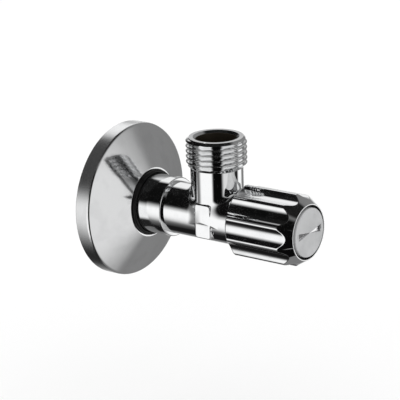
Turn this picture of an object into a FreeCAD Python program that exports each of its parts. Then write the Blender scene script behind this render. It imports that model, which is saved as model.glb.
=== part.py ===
"""Angle stop valve with a sliding wall rosette.

The valve's axis lies along Y: the origin is where it crosses the wall, -Y runs out of the wall to the
handle and +Y into the wall.  +Z is up, along the outlet.  Every piece is drawn in its own local frame,
in which stations are distances from the wall towards the handle, and a half turn about Z puts it in
place.  Millimetres throughout.
"""

import FreeCAD, Part
import math
import os
import re
import Sketcher

# ---------------------------------------------------------------- driving dimensions

# name: (millimetres, degrees or a count, what it is)
SIZES = {
    # Outlet and inlet thread, parallel pipe thread G 1/2 with 55 degree flanks
    "thread_radius": (10.4, "crest radius of both outside threads"),
    "thread_pitch": (1.814, "14 turns to the inch"),
    "thread_depth": (1.162, "crest to root"),
    "thread_root_width": (0.3, "flat at the bottom of the groove"),
    "thread_overcut": (0.18, "how far the thread cutter stands clear of the crests"),
    "inlet_turns": (9.52, "turns of the inlet thread"),
    "outlet_turns": (4.88, "turns of the outlet thread"),
    # Valve body, along the valve's axis
    "inlet_depth": (14.0, "how far the inlet thread reaches into the wall"),
    "inlet_thread_front": (4.0, "station where the inlet thread ends"),
    "spigot_radius": (10.35, "turned spigot that the rosette slides on"),
    "spigot_front": (23.3, "station of the spigot's shoulder"),
    "barrel_radius": (9.1, "waist and neck of the forging"),
    "neck_front": (58.0, "station of the neck's front face"),
    "inlet_bore_radius": (6.5, "waterway from the wall"),
    "inlet_bore_front": (29.5, "station where the waterway narrows to the seat"),
    "seat_hole_radius": (4.4, "hole through the seat"),
    "seat_lip_radius": (5.2, "outside of the raised seat"),
    "seat_face": (34.6, "station of the raised seat"),
    "seat_moat": (1.2, "depth of the chamber's floor below the seat"),
    "chamber_radius": (7.2, "chamber under the outlet"),
    "neck_thread_back": (47.0, "station where the neck's inside thread starts"),
    "neck_thread_radius": (7.5, "inside thread that takes the bonnet"),
    "edge_break": (0.5, "small chamfer on turned edges"),
    "slip_gap": (0.05, "play between pieces that slip together"),
    "press_gap": (0.03, "play between pieces that are pressed together"),
    "overshoot": (1.0, "how far cutters run past what they cut"),
    # Valve body, outlet branch
    "outlet_station": (40.55, "distance of the outlet's axis from the wall"),
    "outlet_tube_radius": (9.0, "plain tube under the outlet thread"),
    "outlet_tube_top": (17.3, "height where the run-out of the thread starts"),
    "outlet_top": (27.8, "height of the outlet's face"),
    "outlet_land_radius": (9.3, "outside of the outlet's face"),
    "outlet_mouth_radius": (7.9, "inside of the outlet's face"),
    "outlet_bore_radius": (7.0, "socket in the outlet"),
    "outlet_bore_floor": (15.0, "height where the socket narrows"),
    "outlet_port_radius": (5.0, "port down to the chamber"),
    "outlet_crest_top": (26.7, "height of the first thread crest"),
    # Side pads
    "pad_width": (6.3, "pad's length along the valve's axis"),
    "pad_height": (11.9, "pad's height"),
    "pad_reach": (9.3, "distance of the pad's face from the valve's axis"),
    "pad_corner": (1.0, "radius of the pad's corners"),
    "crotch_radius": (1.4, "fillet between the branch and the barrel"),
    # Rosette and its friction ring
    "rosette_radius": (27.0, "outside of the rosette's rim"),
    "rosette_sheet": (0.9, "thickness of the pressed sheet"),
    "rosette_rim_front": (5.55, "station where the rim and the cone would meet"),
    "rosette_edge": (1.3, "outside radius of the bend between them"),
    "rosette_throat_front": (12.38, "station where the cone meets the lip"),
    "rosette_collar_radius": (12.22, "outside of the collar's lip"),
    "rosette_collar_front": (12.5, "station of the collar's lip"),
    "rosette_collar_back": (11.3, "station where the collar's bore ends"),
    "rosette_collar_sheet": (0.65, "width of the lip"),
    "rosette_travel": (9.0, "how far the rosette slides towards the outlet"),
    "ring_inner_radius": (10.42, "friction ring on the spigot"),
    "ring_front": (13.7, "station of the friction ring's crown"),
    "ring_back": (8.4, "station of the friction ring's back"),
    "ring_flange_radius": (12.7, "flange that hooks behind the collar"),
    "ring_flange_sheet": (0.8, "thickness of that flange"),
    "ring_bevel": (0.3, "bevel of the friction ring's crown"),
    # Bonnet
    "bonnet_back": (45.6, "station of the bonnet's tail"),
    "bonnet_tail_radius": (6.3, "tail inside the chamber"),
    "bonnet_thread_radius": (7.45, "thread in the neck"),
    "gasket_sheet": (0.5, "thickness of the bonnet's gasket"),
    "bonnet_hexagon": (15.5, "across the flats of the bonnet's hexagon"),
    "bonnet_hexagon_front": (61.5, "station of the hexagon's front"),
    "bonnet_nose_radius": (5.6, "nose around the spindle"),
    "bonnet_front": (67.0, "station of the nose's front"),
    "guide_bore_radius": (4.95, "round guide of the plunger"),
    "guide_hexagon": (8.2, "across the flats of the plunger's hexagonal guide"),
    "guide_hexagon_back": (52.2, "station where the hexagonal guide starts"),
    "guide_hexagon_front": (59.4, "station where the hexagonal guide ends"),
    "collar_pocket_front": (61.3, "station of the shoulder that holds the spindle in"),
    "journal_bore_radius": (3.3, "bore that the spindle turns in"),
    # Spindle
    "screw_radius": (2.9, "screw that drives the plunger"),
    "screw_back": (46.9, "station of the screw's tip"),
    "spindle_collar_radius": (4.0, "collar that takes the thrust"),
    "spindle_collar_back": (59.45, "station of the collar's back"),
    "spindle_collar_front": (60.95, "station of the collar's front"),
    "journal_radius": (3.25, "journal in the bonnet"),
    "seal_station_inner": (62.9, "station of the inner spindle seal"),
    "seal_station_outer": (65.3, "station of the outer spindle seal"),
    "seal_groove_radius": (2.4, "bottom of the seal grooves"),
    "seal_groove_width": (1.2, "width of every seal groove"),
    "clip_groove_radius": (2.7, "bottom of the clip's groove"),
    "clip_back": (67.2, "station of the clip's back"),
    "clip_sheet": (0.7, "thickness of the clip"),
    "clip_radius": (4.2, "outside of the clip"),
    "clip_gap": (2.6, "opening of the clip"),
    "spline_radius": (3.1, "tips of the serrated end"),
    "spline_depth": (0.35, "depth of the serrations"),
    "spline_count": (16, "number of serrations"),
    "serration_radius": (0.56, "radius of the cutter for a serration"),
    "spline_back": (68.1, "station where the serrations start"),
    "spindle_front": (73.5, "station of the spindle's end"),
    "tapped_radius": (1.6, "tapped hole for the handle's screw"),
    "tapped_depth": (6.0, "depth of that hole"),
    "slip_washer_sheet": (0.25, "thickness of the slip washer"),
    # Plunger and what it carries
    "plunger_lift": (3.75, "travel from shut to fully open"),
    "washer_sheet": (2.35, "thickness of the seat washer"),
    "washer_radius": (5.5, "outside of the seat washer"),
    "washer_hole_radius": (1.85, "hole in the seat washer"),
    "washer_gap": (0.05, "gap left between washer and seat when shut"),
    "plunger_rim_radius": (6.4, "rim around the seat washer"),
    "plunger_rim_depth": (1.4, "how far the rim covers the washer"),
    "plunger_head_front": (40.0, "station of the head's front"),
    "plunger_stem_radius": (4.9, "round stem of the plunger"),
    "plunger_stem_front": (48.2, "station where the stem turns hexagonal"),
    "plunger_hexagon": (8.0, "across the flats of the plunger's end"),
    "plunger_front": (55.2, "station of the plunger's end"),
    "plunger_bore_radius": (2.95, "nut thread for the spindle's screw"),
    "plunger_bore_back": (43.0, "station of the nut thread's floor"),
    "plunger_seal_station": (46.85, "station of the plunger's seal"),
    "plunger_seal_radius": (4.0, "bottom of the plunger's seal groove"),
    "cup_sheet": (0.5, "thickness of the washer's cup"),
    "cup_radius": (3.9, "outside of the washer's cup"),
    "washer_screw_radius": (1.75, "shank of the washer's screw"),
    "washer_screw_head": (3.2, "head radius of the washer's screw"),
    "washer_screw_head_height": (1.3, "head height of the washer's screw"),
    "washer_screw_length": (6.6, "shank length of the washer's screw"),
    # Handle
    "handle_back": (50.3, "station of the handle's rear rim"),
    "handle_back_radius": (9.8, "outside of that rim"),
    "handle_shoulder": (52.3, "station where the rear cone ends"),
    "handle_radius": (12.5, "ridges between the flutes"),
    "handle_cone_back": (72.5, "station where the front cone starts"),
    "handle_front": (77.3, "station of the handle's front ring"),
    "handle_front_radius": (9.63, "outside of the front ring"),
    "flute_count": (10, "number of flutes"),
    "flute_floor_radius": (10.95, "deepest line of a flute from the axis"),
    "flute_cutter_radius": (5.0, "radius of a flute's hollow"),
    "flute_phase": (1.0, "degrees from the horizontal to the first flute"),
    "ridge_round": (0.45, "rounding of the ridges"),
    "handle_cavity_radius": (9.45, "hollow over the neck and the bonnet"),
    "handle_cavity_front": (73.0, "station of the hollow's floor"),
    "hub_radius": (5.4, "hub in the hollow"),
    "hub_back": (68.2, "station of the hub's back"),
    "rib_count": (5, "ribs from the hub to the shell"),
    "rib_sheet": (1.0, "thickness of a rib"),
    "rib_back": (69.8, "station of the ribs' back"),
    "rib_bite": (0.3, "how far a rib runs into the hub and the shell"),
    "bush_radius": (4.3, "outside of the serrated bush"),
    "bush_bore_radius": (3.13, "bore of the serrated bush"),
    "web_back": (73.6, "station of the web that the screw holds down"),
    "web_front": (74.4, "front of that web"),
    "web_hole_radius": (2.15, "screw hole in the web"),
    "cap_recess_radius": (9.2, "recess for the end cap"),
    "cap_recess_floor": (75.8, "station of the recess's floor"),
    "cap_socket_radius": (5.6, "socket that the end cap clips into"),
    # Handle's screw and lock washer
    "lock_washer_sheet": (0.5, "thickness of the lock washer"),
    "lock_washer_radius": (3.7, "outside of the lock washer"),
    "handle_screw_radius": (1.55, "shank of the handle's screw"),
    "handle_screw_head": (3.5, "head radius of the handle's screw"),
    "handle_screw_head_height": (1.3, "head height of the handle's screw"),
    "handle_screw_length": (5.6, "shank length of the handle's screw"),
    "slot_width": (0.8, "driver slot in both screws"),
    "slot_depth": (0.6, "depth of the driver slot"),
    "screw_edge": (0.3, "bevel of a screw's tip and head"),
    # End cap
    "cap_radius": (8.35, "outside of the cap's disc"),
    "cap_front": (77.8, "station of the cap's face"),
    "cap_back": (75.85, "station of the disc's back"),
    "cap_edge": (0.4, "rounding of the cap's face"),
    "cap_hollow_front": (76.5, "station of the hollow over the screw's head"),
    "cap_hollow_radius": (4.3, "radius of that hollow"),
    "cap_plug_radius": (5.55, "ring that clips into the handle"),
    "cap_plug_back": (74.95, "station of the ring's back"),
    "bow_tie_reach": (6.5, "distance of the bow tie's ends from the middle"),
    "bow_tie_half_width": (1.25, "half the bow tie's width at its ends"),
    "bow_tie_depth": (0.75, "depth of the bow tie at its ends"),
    "bow_tie_point": (0.01, "half width and depth where its halves meet"),
}

doc = FreeCAD.newDocument("AngleStopValve")
sheet = doc.addObject("Spreadsheet::Sheet", "Sizes")
for row, (alias, (number, meaning)) in enumerate(SIZES.items(), start=1):
    sheet.set(f"A{row}", meaning)
    sheet.set(f"B{row}", str(number))
    sheet.setAlias(f"B{row}", alias)
doc.recompute()

# Lengths that differ by less than this are taken as equal
NEAR = 0.01
IN_PLACE = FreeCAD.Placement(FreeCAD.Vector(0, 0, 0), FreeCAD.Rotation(FreeCAD.Vector(0, 0, 1), 180))
PIECES = []


def formula(text):
    """The sheet's formula for a text such as 'cap_front - cap_edge'."""
    return re.sub(r"(?<![\w.])(?!(?:cos|sin|tan|sqrt|deg)\b)([a-z]\w+)", r"Sizes.\1", str(text))


def value(text):
    """The number that a formula gives now."""
    return float(sheet.evalExpression(formula(text).replace("Sizes.", "")))


def bind(feature, **formulas):
    """Tie a feature's properties to formulas of the sheet."""
    for name, text in formulas.items():
        feature.setExpression(name, formula(text))


# ---------------------------------------------------------------- how pieces are drawn


def plane(body, role):
    """One of a body's own origin planes or axes."""
    return next(item for item in body.Origin.OriginFeatures if item.Role == role)


def new_body(label):
    """An empty body for one piece, turned into place."""
    body = doc.addObject("PartDesign::Body", label)
    body.Placement = IN_PLACE
    PIECES.append(body)
    return body


def hold(sketch, kind, corner, text):
    """Fix one coordinate of an outline's corner to a formula."""
    if str(text) == "0":
        axis = -2 if kind == "DistanceX" else -1
        sketch.addConstraint(Sketcher.Constraint("PointOnObject", corner, 1, axis))
        return
    index = sketch.addConstraint(Sketcher.Constraint(kind, -1, 1, corner, 1, value(text)))
    sketch.setExpression(f"Constraints[{index}]", formula(text))


def outline(body, name, corners, role="XY_Plane", offset=None):
    """A closed sketch of straight lines through corners given as pairs of formulas."""
    sketch = body.newObject("Sketcher::SketchObject", name)
    sketch.AttachmentSupport = (plane(body, role), [""])
    sketch.MapMode = "FlatFace"
    if offset is not None:
        sketch.setExpression("AttachmentOffset.Base.z", formula(offset))
    points = [FreeCAD.Vector(value(x), value(y), 0) for x, y in corners]
    count = len(points)
    for corner in range(count):
        sketch.addGeometry(Part.LineSegment(points[corner], points[(corner + 1) % count]))
    for corner in range(count):
        sketch.addConstraint(Sketcher.Constraint("Coincident", corner, 2, (corner + 1) % count, 1))
    for corner, (x, y) in enumerate(corners):
        hold(sketch, "DistanceX", corner, x)
        hold(sketch, "DistanceY", corner, y)
    return sketch


def spin(body, kind, name, corners):
    """Revolve or groove an outline of (radius, station) corners about the valve's axis."""
    sketch = outline(body, name + "Outline", corners)
    feature = body.newObject("PartDesign::" + kind, name)
    feature.Profile = (sketch, [""])
    feature.ReferenceAxis = (sketch, ["V_Axis"])
    feature.Angle = 360
    doc.recompute()
    return feature


def turned(label, corners):
    """A piece turned in one go from its outline."""
    body = new_body(label)
    spin(body, "Revolution", label + "_turning", corners)
    return body


def along_axis(body, kind, name, back, front, x="0", z="0", **formulas):
    """A cylinder, prism or box primitive that runs from one station to another."""
    feature = body.newObject("PartDesign::" + kind, name)
    feature.AttachmentSupport = (plane(body, "XZ_Plane"), [""])
    feature.MapMode = "FlatFace"
    feature.setExpression("AttachmentOffset.Base.x", formula(x))
    feature.setExpression("AttachmentOffset.Base.y", formula(z))
    feature.setExpression("AttachmentOffset.Base.z", "-(" + formula(front) + ")")
    bind(feature, Height=f"({front}) - ({back})", **formulas)
    doc.recompute()
    return feature


def repeat(body, name, original, count):
    """The same feature again, evenly spaced about the valve's axis."""
    pattern = body.newObject("PartDesign::PolarPattern", name)
    pattern.Originals = [original]
    pattern.Axis = (plane(body, "Y_Axis"), [""])
    pattern.Angle = 360
    bind(pattern, Occurrences=count)
    body.Tip = pattern
    doc.recompute()
    return pattern


def circles_at(feature, radius, station):
    """Names of the circular edges about the valve's axis with that radius and station."""
    names = []
    for number, edge in enumerate(feature.Shape.Edges, start=1):
        if not isinstance(edge.Curve, Part.Circle):
            continue
        centre = edge.Curve.Center
        same_place = abs(abs(centre.y) - value(station)) < NEAR and math.hypot(centre.x, centre.z) < NEAR
        if same_place and abs(edge.Curve.Radius - value(radius)) < NEAR:
            names.append(f"Edge{number}")
    return names


def soften(body, name, base, edges, radius):
    """Round some edges of a feature."""
    fillet = body.newObject("PartDesign::Fillet", name)
    fillet.Base = (base, edges)
    bind(fillet, Radius=radius)
    doc.recompute()
    return fillet


def seal(label, station, inner, outer):
    """A rubber ring that just fills the room between two radii."""
    ring = doc.addObject("Part::Torus", label)
    ring.Placement = FreeCAD.Placement(FreeCAD.Vector(0, 0, 0), FreeCAD.Rotation(FreeCAD.Vector(1, 0, 0), 90))
    bind(ring, Radius1=f"(({inner}) + ({outer})) / 2", Radius2=f"(({outer}) - ({inner})) / 2")
    ring.setExpression("Placement.Base.y", "-(" + formula(station) + ")")
    PIECES.append(ring)
    return ring


def flat_washer(label, back, sheet_name, inner, outer):
    """A plain disc with a hole."""
    front = f"{back} + {sheet_name}"
    return turned(label, [(inner, back), (outer, back), (outer, front), (inner, front)])


# ---------------------------------------------------------------- valve body


def outlet_outline(body, name, corners):
    """A sketch of (distance from the outlet's axis, height) corners, with that axis drawn in."""
    placed = [(f"outlet_station + {out}" if out != "0" else "outlet_station", up) for out, up in corners]
    sketch = outline(body, name, placed, role="YZ_Plane")
    foot = FreeCAD.Vector(value("outlet_station"), 0, 0)
    axis = sketch.addGeometry(Part.LineSegment(foot, foot + FreeCAD.Vector(0, 10, 0)), True)
    sketch.addConstraint(Sketcher.Constraint("Vertical", axis))
    hold(sketch, "DistanceX", axis, "outlet_station")
    return sketch


def about_outlet(body, kind, name, corners):
    """Revolve or groove an outline about the outlet's axis."""
    sketch = outlet_outline(body, name + "Outline", corners)
    feature = body.newObject("PartDesign::" + kind, name)
    feature.Profile = (sketch, [""])
    feature.ReferenceAxis = (sketch, ["Axis0"])
    feature.Angle = 360
    doc.recompute()
    return feature


def groove_section(crest, station):
    """The thread cutter's section: a V with a flat bottom, from the root to just clear of the crest."""
    root = f"{crest} - thread_depth"
    clear = f"{crest} + thread_overcut"
    narrow = "thread_root_width / 2"
    wide = "(thread_root_width / 2 + (thread_depth + thread_overcut) * tan(27.5 deg))"
    return [(root, f"{station} - {narrow}"), (clear, f"{station} - {wide}"),
            (clear, f"{station} + {wide}"), (root, f"{station} + {narrow}")]


def thread(body, name, sketch, axis, turns):
    """Cut a helical groove with a sketch of its section; every turn takes out a good 20 mm3."""
    helix = body.newObject("PartDesign::SubtractiveHelix", name)
    helix.Profile = (sketch, [""])
    helix.ReferenceAxis = axis
    helix.Mode = "pitch-turns-angle"
    before = body.Shape.Volume
    bind(helix, Pitch="thread_pitch", Turns=turns)
    doc.recompute()
    if before - body.Shape.Volume < 20 * value(turns):
        raise RuntimeError(name + " cut too little")
    return helix


valve_body = new_body("valve_body")
spin(valve_body, "Revolution", "Barrel", [
    ("0", "-inlet_depth"),
    ("thread_radius - thread_depth", "-inlet_depth"),
    ("thread_radius", "-inlet_depth + thread_depth"),
    ("thread_radius", "inlet_thread_front"),
    ("spigot_radius", "inlet_thread_front + edge_break"),
    ("spigot_radius", "spigot_front - edge_break"),
    ("spigot_radius - edge_break", "spigot_front"),
    ("barrel_radius", "spigot_front"),
    ("barrel_radius", "neck_front - edge_break"),
    ("barrel_radius - edge_break", "neck_front"),
    ("0", "neck_front"),
])
about_outlet(valve_body, "Revolution", "OutletBranch", [
    ("0", "0"),
    ("outlet_tube_radius", "0"),
    ("outlet_tube_radius", "outlet_tube_top"),
    ("thread_radius", "outlet_tube_top + thread_radius - outlet_tube_radius"),
    ("thread_radius", "outlet_crest_top"),
    ("outlet_land_radius", "outlet_top"),
    ("0", "outlet_top"),
])

pad_sketch = outline(valve_body, "PadOutline", [
    ("outlet_station - pad_width / 2", "-pad_height / 2"),
    ("outlet_station + pad_width / 2", "-pad_height / 2"),
    ("outlet_station + pad_width / 2", "pad_height / 2"),
    ("outlet_station - pad_width / 2", "pad_height / 2"),
], role="YZ_Plane")
pads = valve_body.newObject("PartDesign::Pad", "SidePads")
pads.Profile = (pad_sketch, [""])
pads.Midplane = True
bind(pads, Length="2 * pad_reach")
doc.recompute()

# Where the branch grows out of the barrel the forging is filleted; elsewhere the two run into the pads
crotches = []
for number, edge in enumerate(pads.Shape.Edges, start=1):
    if isinstance(edge.Curve, Part.BSplineCurve) and edge.BoundBox.ZMax > value("barrel_radius") - NEAR:
        crotches.append(f"Edge{number}")
crotch = soften(valve_body, "Crotch", pads, crotches, "crotch_radius")
corners = []
for number, edge in enumerate(crotch.Shape.Edges, start=1):
    if isinstance(edge.Curve, Part.Line) and abs(edge.Curve.Direction.x) > 0.999:
        corners.append(f"Edge{number}")
soften(valve_body, "PadCorners", crotch, corners, "pad_corner")

spin(valve_body, "Groove", "Waterway", [
    ("0", "-inlet_depth"),
    ("inlet_bore_radius + edge_break", "-inlet_depth"),
    ("inlet_bore_radius", "-inlet_depth + edge_break"),
    ("inlet_bore_radius", "inlet_bore_front"),
    ("seat_hole_radius", "inlet_bore_front + inlet_bore_radius - seat_hole_radius"),
    ("seat_hole_radius", "seat_face"),
    ("seat_lip_radius", "seat_face"),
    ("seat_lip_radius", "seat_face - seat_moat"),
    ("chamber_radius", "seat_face - seat_moat"),
    ("chamber_radius", "neck_thread_back"),
    ("neck_thread_radius", "neck_thread_back + neck_thread_radius - chamber_radius"),
    ("neck_thread_radius", "neck_front"),
    ("0", "neck_front"),
])
about_outlet(valve_body, "Groove", "OutletSocket", [
    ("0", "0"),
    ("outlet_port_radius", "0"),
    ("outlet_port_radius", "outlet_bore_floor - outlet_bore_radius + outlet_port_radius"),
    ("outlet_bore_radius", "outlet_bore_floor"),
    ("outlet_bore_radius", "outlet_top - outlet_mouth_radius + outlet_bore_radius"),
    ("outlet_mouth_radius", "outlet_top"),
    ("0", "outlet_top"),
])

inlet_section = outline(valve_body, "InletThreadSection", groove_section("thread_radius", "-inlet_depth"))
thread(valve_body, "InletThread", inlet_section, (inlet_section, ["V_Axis"]), "inlet_turns")
outlet_section = outlet_outline(valve_body, "OutletThreadSection",
                                groove_section("thread_radius", "(outlet_tube_top + thread_pitch)"))
thread(valve_body, "OutletThread", outlet_section, (outlet_section, ["Axis0"]), "outlet_turns")

# ---------------------------------------------------------------- rosette

# The pressed sheet: rim, cone and lip, with a round bend between the rim and the cone
rosette = turned("rosette", [
    ("rosette_radius - rosette_sheet", "0"),
    ("rosette_radius", "0"),
    ("rosette_radius", "rosette_rim_front"),
    ("rosette_collar_radius", "rosette_throat_front"),
    ("rosette_collar_radius", "rosette_collar_front"),
    ("rosette_collar_radius - rosette_collar_sheet", "rosette_collar_front"),
    ("rosette_collar_radius - rosette_collar_sheet", "rosette_collar_back"),
    ("rosette_radius - rosette_sheet", "rosette_rim_front - rosette_sheet"),
])
pressing = rosette.Tip
outside_bend = circles_at(pressing, "rosette_radius", "rosette_rim_front")
rounded = soften(rosette, "OutsideBend", pressing, outside_bend, "rosette_edge")
inside_bend = circles_at(rounded, "rosette_radius - rosette_sheet", "rosette_rim_front - rosette_sheet")
soften(rosette, "InsideBend", rounded, inside_bend, "rosette_edge - rosette_sheet")

crown_radius = "(rosette_collar_radius - rosette_collar_sheet - press_gap)"
turned("rosette_ring", [
    ("ring_inner_radius", "ring_back"),
    ("ring_flange_radius", "ring_back"),
    ("ring_flange_radius", "ring_back + ring_flange_sheet"),
    (crown_radius, "ring_back + ring_flange_sheet"),
    (crown_radius, "ring_front - ring_bevel"),
    (f"{crown_radius} - ring_bevel", "ring_front"),
    ("ring_inner_radius + ring_bevel", "ring_front"),
    ("ring_inner_radius", "ring_front - ring_bevel"),
])

# ---------------------------------------------------------------- headwork

bonnet = new_body("bonnet")
spin(bonnet, "Revolution", "Turning", [
    ("0", "bonnet_back"),
    ("bonnet_tail_radius", "bonnet_back"),
    ("bonnet_tail_radius", "neck_thread_back + edge_break"),
    ("bonnet_thread_radius", "neck_thread_back + edge_break + bonnet_thread_radius - bonnet_tail_radius"),
    ("bonnet_thread_radius", "neck_front + gasket_sheet"),
    ("bonnet_nose_radius", "neck_front + gasket_sheet"),
    ("bonnet_nose_radius", "bonnet_front - edge_break"),
    ("bonnet_nose_radius - edge_break", "bonnet_front"),
    ("0", "bonnet_front"),
])
along_axis(bonnet, "AdditivePrism", "Hexagon", "neck_front + gasket_sheet", "bonnet_hexagon_front",
           Circumradius="bonnet_hexagon / sqrt(3)")
along_axis(bonnet, "SubtractiveCylinder", "PlungerGuide", "bonnet_back", "guide_hexagon_back",
           Radius="guide_bore_radius")
along_axis(bonnet, "SubtractivePrism", "HexagonalGuide", "guide_hexagon_back", "guide_hexagon_front",
           Circumradius="guide_hexagon / sqrt(3)")
along_axis(bonnet, "SubtractiveCylinder", "CollarPocket", "guide_hexagon_front", "collar_pocket_front",
           Radius="guide_hexagon / 2")
along_axis(bonnet, "SubtractiveCylinder", "JournalBore", "collar_pocket_front", "bonnet_front",
           Radius="journal_bore_radius")

flat_washer("bonnet_gasket", "neck_front", "gasket_sheet", "bonnet_thread_radius + slip_gap",
            "barrel_radius - edge_break")

spindle = new_body("spindle")
half = "seal_groove_width / 2"
spin(spindle, "Revolution", "Turning", [
    ("0", "screw_back"),
    ("screw_radius - edge_break", "screw_back"),
    ("screw_radius", "screw_back + edge_break"),
    ("screw_radius", "spindle_collar_back"),
    ("spindle_collar_radius", "spindle_collar_back"),
    ("spindle_collar_radius", "spindle_collar_front"),
    ("journal_radius", "spindle_collar_front"),
    ("journal_radius", f"seal_station_inner - {half}"),
    ("seal_groove_radius", f"seal_station_inner - {half}"),
    ("seal_groove_radius", f"seal_station_inner + {half}"),
    ("journal_radius", f"seal_station_inner + {half}"),
    ("journal_radius", f"seal_station_outer - {half}"),
    ("seal_groove_radius", f"seal_station_outer - {half}"),
    ("seal_groove_radius", f"seal_station_outer + {half}"),
    ("journal_radius", f"seal_station_outer + {half}"),
    ("journal_radius", "clip_back - slip_gap"),
    ("clip_groove_radius", "clip_back - slip_gap"),
    ("clip_groove_radius", "clip_back + clip_sheet + slip_gap"),
    ("spline_radius", "clip_back + clip_sheet + slip_gap"),
    ("spline_radius", "spindle_front - edge_break"),
    ("spline_radius - edge_break", "spindle_front"),
    ("0", "spindle_front"),
])
serration = along_axis(spindle, "SubtractivePrism", "Serration", "spline_back", "spindle_front",
                       x="spline_radius - spline_depth + serration_radius",
                       Circumradius="serration_radius")
repeat(spindle, "Serrations", serration, "spline_count")
along_axis(spindle, "SubtractiveCylinder", "TappedHole", "spindle_front - tapped_depth", "spindle_front",
           Radius="tapped_radius")

for place in ("inner", "outer"):
    seal(f"spindle_o_ring_{place}", f"seal_station_{place}", "seal_groove_radius + press_gap",
         "journal_bore_radius - press_gap")

flat_washer("slip_washer", "spindle_collar_front + press_gap", "slip_washer_sheet",
            "journal_radius + slip_gap", "spindle_collar_radius")

clip = flat_washer("spindle_clip", "clip_back", "clip_sheet", "clip_groove_radius + press_gap", "clip_radius")
along_axis(clip, "SubtractiveBox", "ClipOpening",
           "clip_back - overshoot", "clip_back + clip_sheet + overshoot",
           z="-clip_gap / 2", Length="clip_radius + overshoot", Width="clip_gap")

# ---------------------------------------------------------------- plunger

washer_back = "(seat_face + washer_gap)"
washer_front = "(seat_face + washer_gap + washer_sheet)"
plunger = new_body("plunger")
spin(plunger, "Revolution", "Turning", [
    ("0", washer_front),
    ("washer_radius + slip_gap", washer_front),
    ("washer_radius + slip_gap", f"{washer_front} - plunger_rim_depth"),
    ("plunger_rim_radius", f"{washer_front} - plunger_rim_depth"),
    ("plunger_rim_radius", "plunger_head_front - edge_break"),
    ("plunger_rim_radius - edge_break", "plunger_head_front"),
    ("plunger_stem_radius", "plunger_head_front"),
    ("plunger_stem_radius", f"plunger_seal_station - {half}"),
    ("plunger_seal_radius", f"plunger_seal_station - {half}"),
    ("plunger_seal_radius", f"plunger_seal_station + {half}"),
    ("plunger_stem_radius", f"plunger_seal_station + {half}"),
    ("plunger_stem_radius", "plunger_stem_front"),
    ("0", "plunger_stem_front"),
])
along_axis(plunger, "AdditivePrism", "HexagonalEnd", "plunger_stem_front", "plunger_front",
           Circumradius="plunger_hexagon / sqrt(3)")
along_axis(plunger, "SubtractiveCylinder", "NutThread", "plunger_bore_back", "plunger_front",
           Radius="plunger_bore_radius")
along_axis(plunger, "SubtractiveCylinder", "ScrewHole", washer_front, f"{washer_back} + washer_screw_length",
           Radius="washer_screw_radius + press_gap")

seal("plunger_o_ring", "plunger_seal_station", "plunger_seal_radius + press_gap",
     "guide_bore_radius - press_gap")
flat_washer("seat_washer", washer_back, "washer_sheet", "washer_hole_radius", "washer_radius")
flat_washer("washer_cup", f"{washer_back} - cup_sheet", "cup_sheet", "washer_hole_radius", "cup_radius")


def slotted_screw(label, under_head, direction, shank, length, head, height):
    """A pan-head screw; direction is + when its head is nearer the handle's front than its tip."""
    back = "-" if direction == "+" else "+"
    tip = f"{under_head} {back} {length}"
    crown = f"{under_head} {direction} {height}"
    screw = turned(label, [
        ("0", tip),
        (f"{shank} - screw_edge", tip),
        (shank, f"{tip} {direction} screw_edge"),
        (shank, under_head),
        (head, under_head),
        (head, f"{crown} {back} screw_edge"),
        (f"{head} - screw_edge", crown),
        ("0", crown),
    ])
    ends = [f"{crown} {back} slot_depth", f"{crown} {direction} overshoot"]
    low, high = ends if direction == "+" else ends[::-1]
    along_axis(screw, "SubtractiveBox", label + "_slot", low, high,
               x=f"-{head} - overshoot", z="-slot_width / 2", Length=f"2 * ({head} + overshoot)",
               Width="slot_width")
    return screw


slotted_screw("washer_screw", f"({washer_back} - cup_sheet)", "-", "washer_screw_radius",
              "washer_screw_length", "washer_screw_head", "washer_screw_head_height")

# ---------------------------------------------------------------- handle

handle = new_body("handle")
spin(handle, "Revolution", "Knob", [
    ("handle_cavity_radius", "handle_back"),
    ("handle_back_radius", "handle_back"),
    ("handle_radius", "handle_shoulder"),
    ("handle_radius", "handle_cone_back"),
    ("handle_front_radius", "handle_front"),
    ("cap_recess_radius", "handle_front"),
    ("cap_recess_radius", "cap_recess_floor"),
    ("cap_socket_radius", "cap_recess_floor"),
    ("cap_socket_radius", "web_front"),
    ("web_hole_radius", "web_front"),
    ("web_hole_radius", "web_back"),
    ("bush_radius", "web_back"),
    ("bush_radius", "hub_back"),
    ("hub_radius", "hub_back"),
    ("hub_radius", "handle_cavity_front"),
    ("handle_cavity_radius", "handle_cavity_front"),
])
rib = along_axis(handle, "AdditiveBox", "Rib", "rib_back", "handle_cavity_front + rib_bite",
                 x="hub_radius - rib_bite", z="-rib_sheet / 2",
                 Length="handle_cavity_radius - hub_radius + 2 * rib_bite", Width="rib_sheet")
repeat(handle, "Ribs", rib, "rib_count")
cutter_centre = "(flute_floor_radius + flute_cutter_radius)"
flute = along_axis(handle, "SubtractiveCylinder", "Flute",
                   "handle_back - overshoot", "handle_front + overshoot",
                   x=f"{cutter_centre} * cos(flute_phase * 1 deg)",
                   z=f"{cutter_centre} * sin(flute_phase * 1 deg)",
                   Radius="flute_cutter_radius")
flutes = repeat(handle, "Flutes", flute, "flute_count")
ridges = []
for number, edge in enumerate(flutes.Shape.Edges, start=1):
    out = math.hypot(edge.CenterOfMass.x, edge.CenterOfMass.z)
    straight = isinstance(edge.Curve, Part.Line) and abs(edge.Curve.Direction.y) > 0.999
    if straight and abs(out - value("handle_radius")) < NEAR:
        ridges.append(f"Edge{number}")
if len(ridges) != 2 * value("flute_count"):
    raise RuntimeError(f"{len(ridges)} ridge edges found")
soften(handle, "Ridges", flutes, ridges, "ridge_round")

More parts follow.
